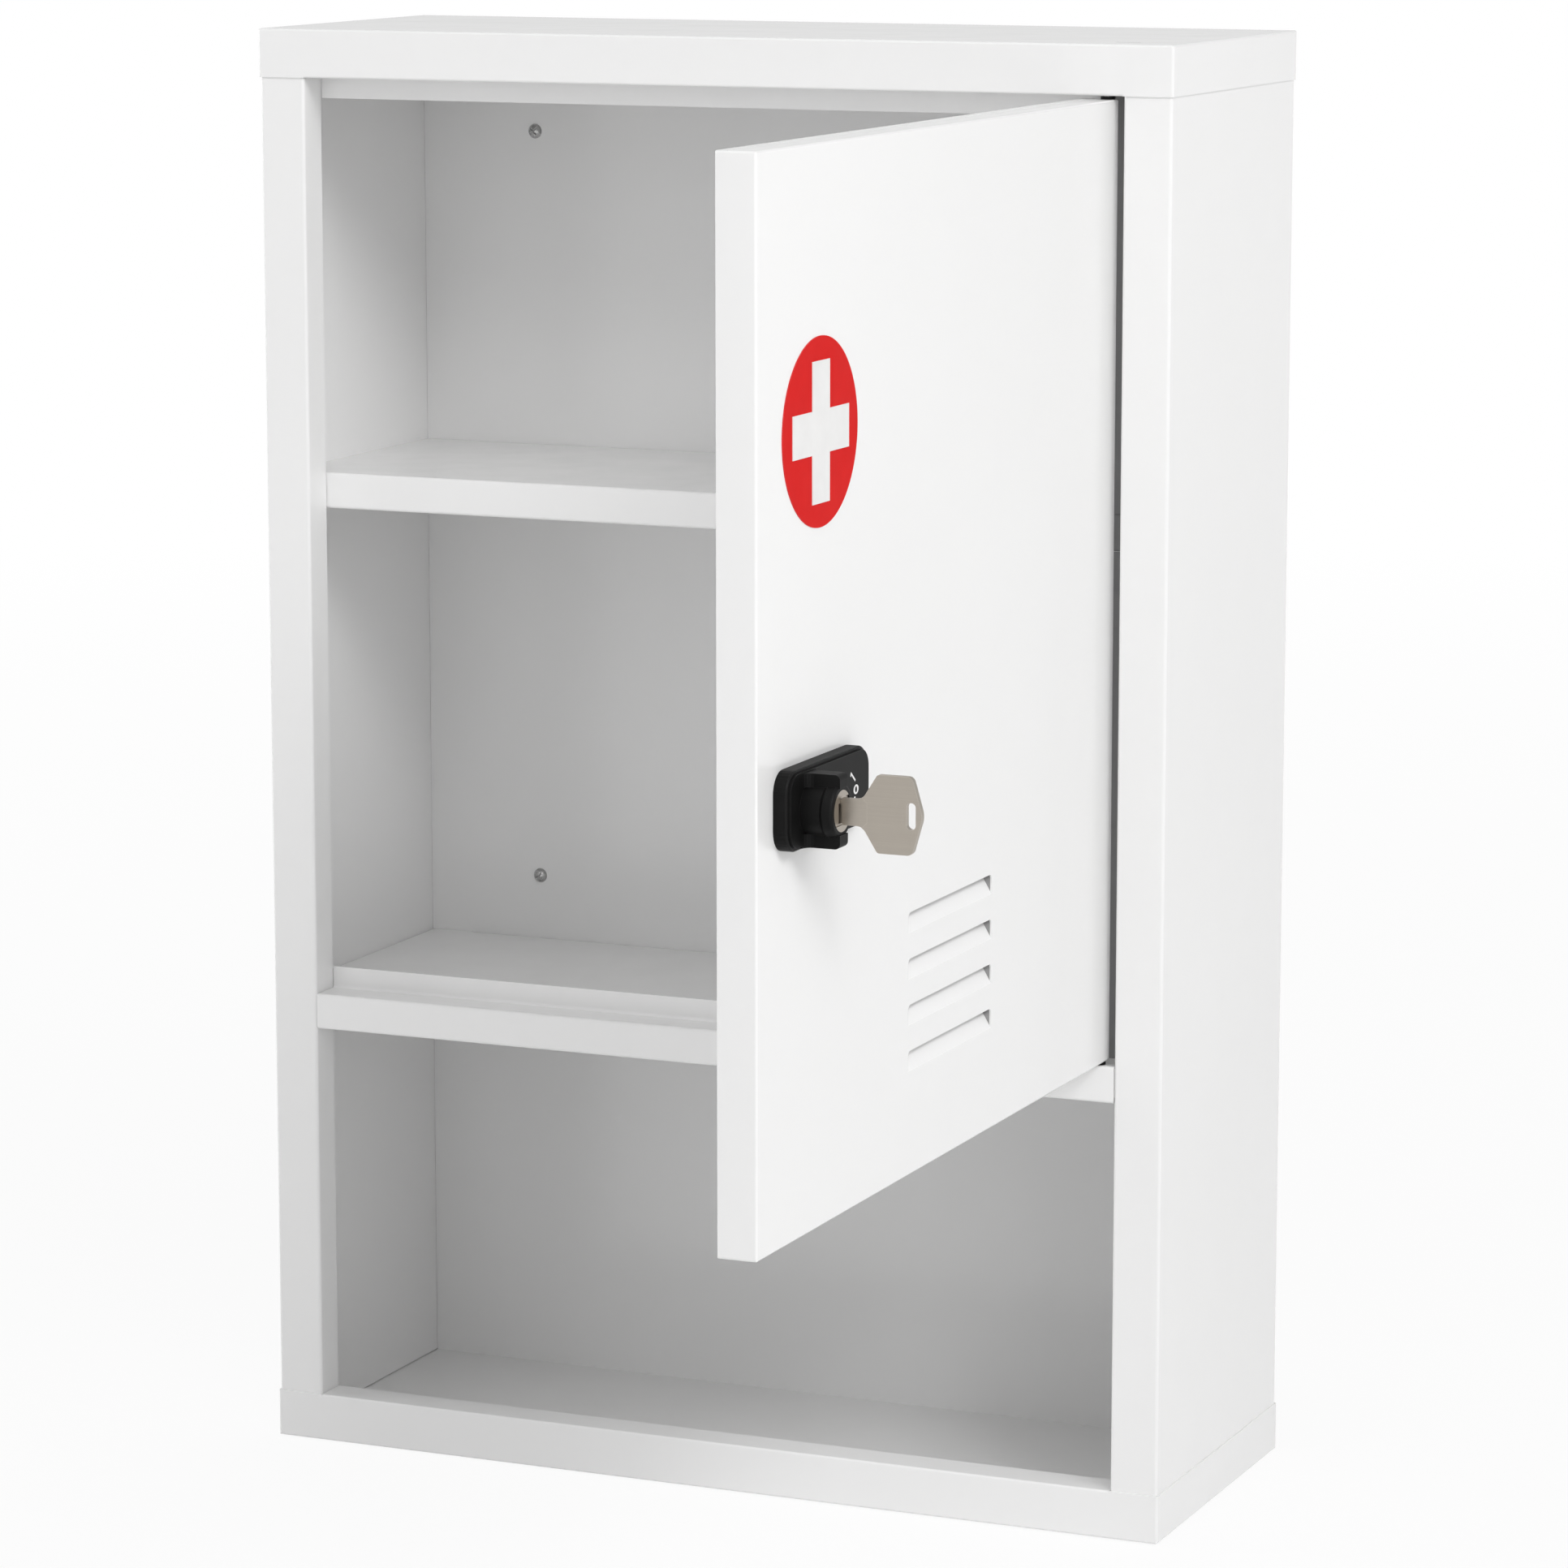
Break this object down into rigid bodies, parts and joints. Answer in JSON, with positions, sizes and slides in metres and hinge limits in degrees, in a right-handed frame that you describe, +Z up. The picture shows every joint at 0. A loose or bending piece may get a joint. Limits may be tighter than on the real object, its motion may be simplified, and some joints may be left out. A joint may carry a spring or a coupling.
{
  "type": "lockable medicine cabinet",
  "caption": "White sheet-steel wall cabinet with a lockable louvred door on corner pins, an inner shelf, an open lower bay and a key in its cam lock.",
  "frame": {"origin": "middle of the underside, in width and in depth", "axes": "+Z up, +Y back to the wall, +X to the right of someone who faces the cabinet; the front looks along -Y"},
  "size_m": [0.4234, 0.5195, 0.6],
  "materials": {
    "powder_coat": "white powder coat, satin",
    "zinc_steel": "bright zinc plated",
    "black_plastic": "fine moulded satin",
    "nickel": "satin nickel plate",
    "label_red": "printed vinyl",
    "label_white": "printed vinyl"
  },
  "bodies": {
    "cabinet": {"left_side_panel": "powder_coat", "right_side_panel": "powder_coat", "back_panel": "powder_coat", "top_cap": "powder_coat", "bottom_cap": "powder_coat", "divider_shelf": "powder_coat", "upper_shelf": "powder_coat", "door_stop_top": "powder_coat", "door_stop_bottom": "powder_coat", "door_stop_hinge_lower": "powder_coat", "door_stop_hinge_upper": "powder_coat", "hinge_pin_top": "zinc_steel", "hinge_pin_bottom": "zinc_steel", "hinge_washer_bottom": "black_plastic", "wall_screws": "zinc_steel"},
    "door": {"door_outer_skin": "powder_coat", "door_inner_skin": "powder_coat", "hinge_block_top": "zinc_steel", "hinge_block_bottom": "zinc_steel", "hinge_washer_top": "black_plastic", "lock_housing": "black_plastic", "lock_nut": "zinc_steel", "label_disc": "label_red", "label_cross": "label_white"},
    "plug": {"lock_plug": "nickel", "lock_cam": "zinc_steel", "cam_screw": "zinc_steel"},
    "key": {"key": "nickel"}
  },
  "joints": [
    {"name": "door_hinge", "type": "hinge", "parent": "cabinet", "child": "door", "pos_m": [0.1716, -0.0709, 0.3875], "axis": [0, 0, 1], "range_deg": [-90, 35]},
    {"name": "plug_turn", "type": "hinge", "parent": "door", "child": "plug", "pos_m": [0.1751, -0.388, 0.3511], "axis": [-1, 0, 0], "range_deg": [0, 90]},
    {"name": "key_slide", "type": "slide", "parent": "plug", "child": "key", "axis": [1, 0, 0], "range_m": [0, 0.032]}
  ]
}
